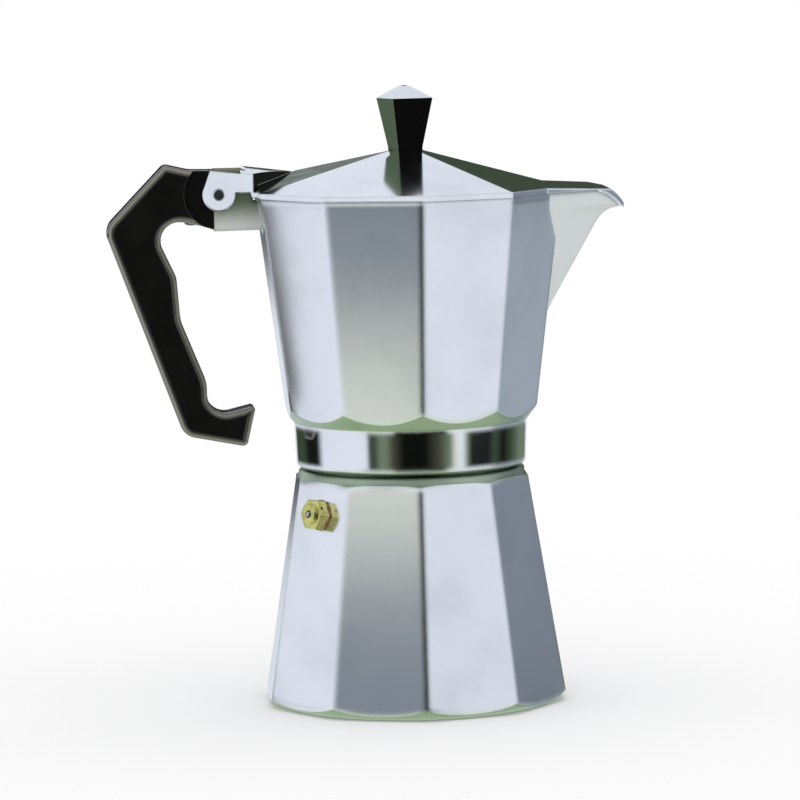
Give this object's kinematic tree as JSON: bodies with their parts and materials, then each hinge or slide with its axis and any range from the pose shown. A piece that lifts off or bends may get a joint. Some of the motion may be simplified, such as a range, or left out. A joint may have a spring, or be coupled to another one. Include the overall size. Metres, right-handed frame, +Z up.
{
  "type": "moka pot",
  "caption": "Faceted aluminium stovetop coffee maker that screws apart at a turned band, with a hinged spouted lid, a black side handle, a funnel and a brass safety valve",
  "frame": {"origin": "on the pot's upright axis, at the flat face that it stands on", "axes": "+X towards the spout, +Z up along the pot's axis, the handle towards -X, the safety valve towards -X -Y"},
  "size_m": [0.1824, 0.1108, 0.2171],
  "materials": {
    "cast_aluminium": "polished",
    "sheet_aluminium": "satin",
    "handle_black": "moulded",
    "knob_metal": "polished",
    "brass": "machined",
    "steel": "plain",
    "fibre": "plain",
    "gasket_rubber": "moulded"
  },
  "bodies": {
    "boiler_body": {"boiler": "cast_aluminium", "valve_washer": "fibre", "valve_body": "brass", "valve_seat": "brass", "valve_spring": "steel"},
    "plunger_body": {"valve_plunger": "steel"},
    "funnel_body": {"funnel_cup": "sheet_aluminium", "funnel_stem": "sheet_aluminium", "funnel_screen": "sheet_aluminium"},
    "seal_body": {"gasket": "gasket_rubber", "filter_plate": "sheet_aluminium"},
    "collector_body": {"collector": "cast_aluminium", "column": "sheet_aluminium", "hinge_pin": "steel", "handle": "handle_black", "handle_screw": "steel"},
    "lid_body": {"lid": "cast_aluminium", "knob": "knob_metal", "knob_washer": "steel", "knob_screw": "steel"}
  },
  "joints": [
    {"name": "valve_lift", "type": "slide", "parent": "boiler_body", "child": "plunger_body", "axis": [-0.8126, -0.5627, 0.1518], "range_m": [0, 0.0012], "stiffness_N_per_m": 400, "deforming": ["valve_spring"]},
    {"name": "funnel_lift", "type": "slide", "parent": "boiler_body", "child": "funnel_body", "axis": [0, 0, 1], "range_m": [0, 0.008]},
    {"name": "collector_rise", "type": "slide", "parent": "boiler_body", "child": "seal_body", "axis": [0, 0, 1], "range_m": [0, 0.012]},
    {"name": "collector_unscrew", "type": "hinge", "parent": "seal_body", "child": "collector_body", "pos_m": [0, 0, 0], "axis": [0, 0, 1], "range_deg": [0, 1080]},
    {"name": "lid_open", "type": "hinge", "parent": "collector_body", "child": "lid_body", "pos_m": [-0.0663, 0, 0.1806], "axis": [0, -1, 0], "range_deg": [0, 87]}
  ],
  "couplings": [
    {"joint": "collector_rise", "follows": "collector_unscrew", "m_per_rad": 0.0006366},
    {"joint": "funnel_lift", "follows": "collector_unscrew", "m_per_rad": 0.0004244}
  ]
}
